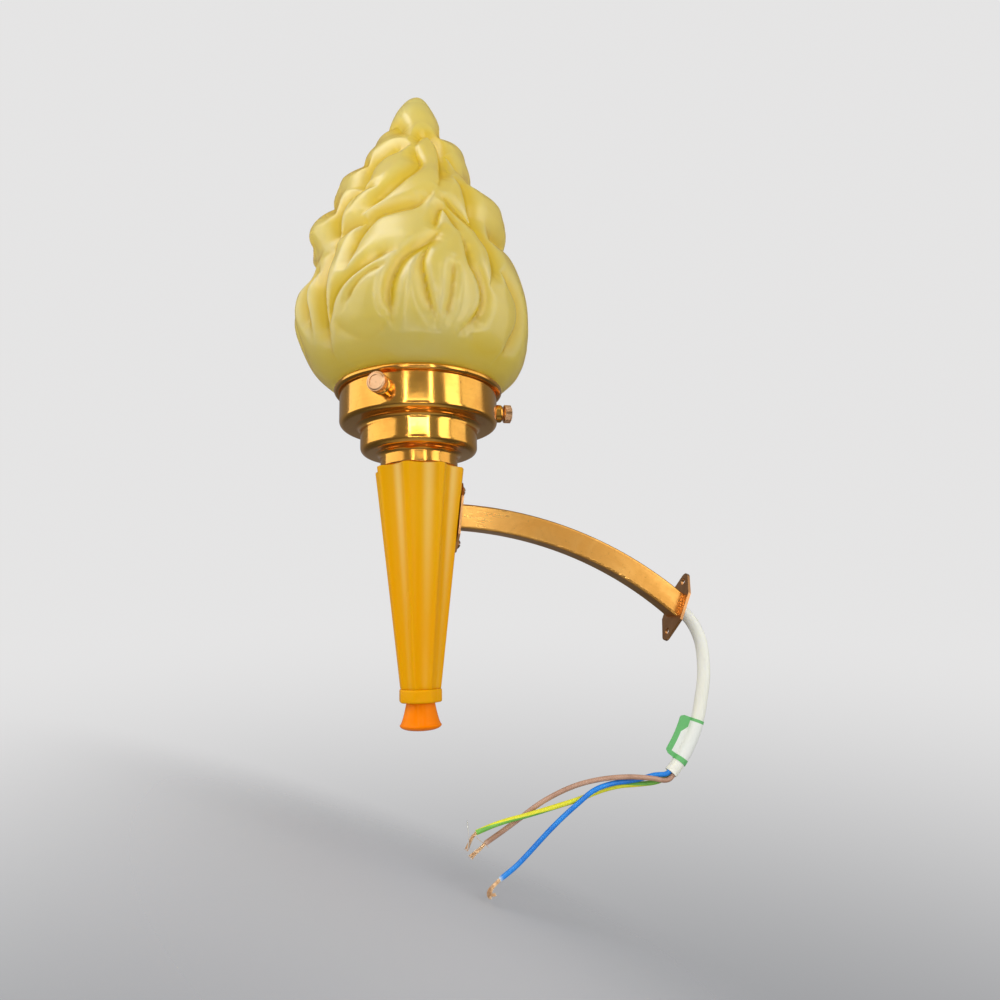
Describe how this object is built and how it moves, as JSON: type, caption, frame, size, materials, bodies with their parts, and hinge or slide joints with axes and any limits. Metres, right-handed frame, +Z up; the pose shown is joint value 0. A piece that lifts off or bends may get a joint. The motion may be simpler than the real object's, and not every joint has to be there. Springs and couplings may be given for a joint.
{
  "type": "torch wall light",
  "caption": "Wall light shaped as a torch: a frosted flame shade in a stepped gallery on a fluted handle, held off the wall by an arched square arm, with a free supply cable.",
  "frame": {"origin": "centre of the wall plate's back face, midway between its two screw holes", "axes": "+Z up, +Y into the wall, so the torch stands off along -Y; +X to the side"},
  "size_m": [0.1246, 0.2948, 0.3814],
  "materials": {
    "plate_metal": "dull copper-brown metal",
    "arm_metal": "brushed, lacquered golden metal",
    "handle_lacquer": "smooth amber lacquer, satin",
    "polished_metal": "polished orange-gold, spun",
    "screw_metal": "satin copper-brown metal",
    "flame_glass": "frosted, translucent yellow-green",
    "plated_steel": "zinc plated",
    "holder_black": "moulded, glossy",
    "contact_brass": "plain",
    "insulator_white": "unglazed white",
    "sheath_cream": "smooth flexible sheath",
    "core_brown": "smooth flexible insulation",
    "core_blue": "smooth flexible insulation",
    "core_earth": "yellow insulation with a green stripe",
    "bare_copper": "bare stranded copper",
    "label_white": "blank, with green bands at both ends"
  },
  "bodies": {
    "light": {"wall_plate": "plate_metal", "arm_tube": "arm_metal", "handle_plate": "plate_metal", "handle_plate_screws": "plate_metal", "handle": "handle_lacquer", "handle_collar": "handle_lacquer", "finial": "polished_metal", "stem_rod": "plated_steel", "stem_nut": "plated_steel", "stem_washer": "plated_steel", "neck_ring": "polished_metal", "step_cup": "polished_metal", "gallery": "polished_metal", "screw_bosses": "polished_metal", "holder_cap": "holder_black", "holder_barrel": "holder_black", "socket_shell": "contact_brass", "holder_insulator": "insulator_white", "centre_contact": "contact_brass", "terminal_screws": "contact_brass", "inner_cable": "sheath_cream", "inner_core_brown": "core_brown", "inner_core_blue": "core_blue", "inner_core_earth": "core_earth", "supply_cable": "sheath_cream", "core_brown": "core_brown", "core_blue": "core_blue", "core_earth": "core_earth", "core_ends": "bare_copper", "cable_label": "label_white"},
    "shade": {"flame_shade": "flame_glass"},
    "screw_wall": {"thumb_screw_wall": "screw_metal"},
    "screw_left": {"thumb_screw_left": "screw_metal"},
    "screw_right": {"thumb_screw_right": "screw_metal"}
  },
  "joints": [
    {"name": "shade_lift", "type": "slide", "parent": "light", "child": "shade", "axis": [0, -0.3947, 0.9188], "range_m": [0, 0.08]},
    {"name": "screw_wall_slide", "type": "slide", "parent": "light", "child": "screw_wall", "axis": [0, 0.9188, 0.3947], "range_m": [0, 0.004]},
    {"name": "screw_left_slide", "type": "slide", "parent": "light", "child": "screw_left", "axis": [-0.866, -0.4594, -0.1974], "range_m": [0, 0.004]},
    {"name": "screw_right_slide", "type": "slide", "parent": "light", "child": "screw_right", "axis": [0.866, -0.4594, -0.1974], "range_m": [0, 0.004]}
  ]
}
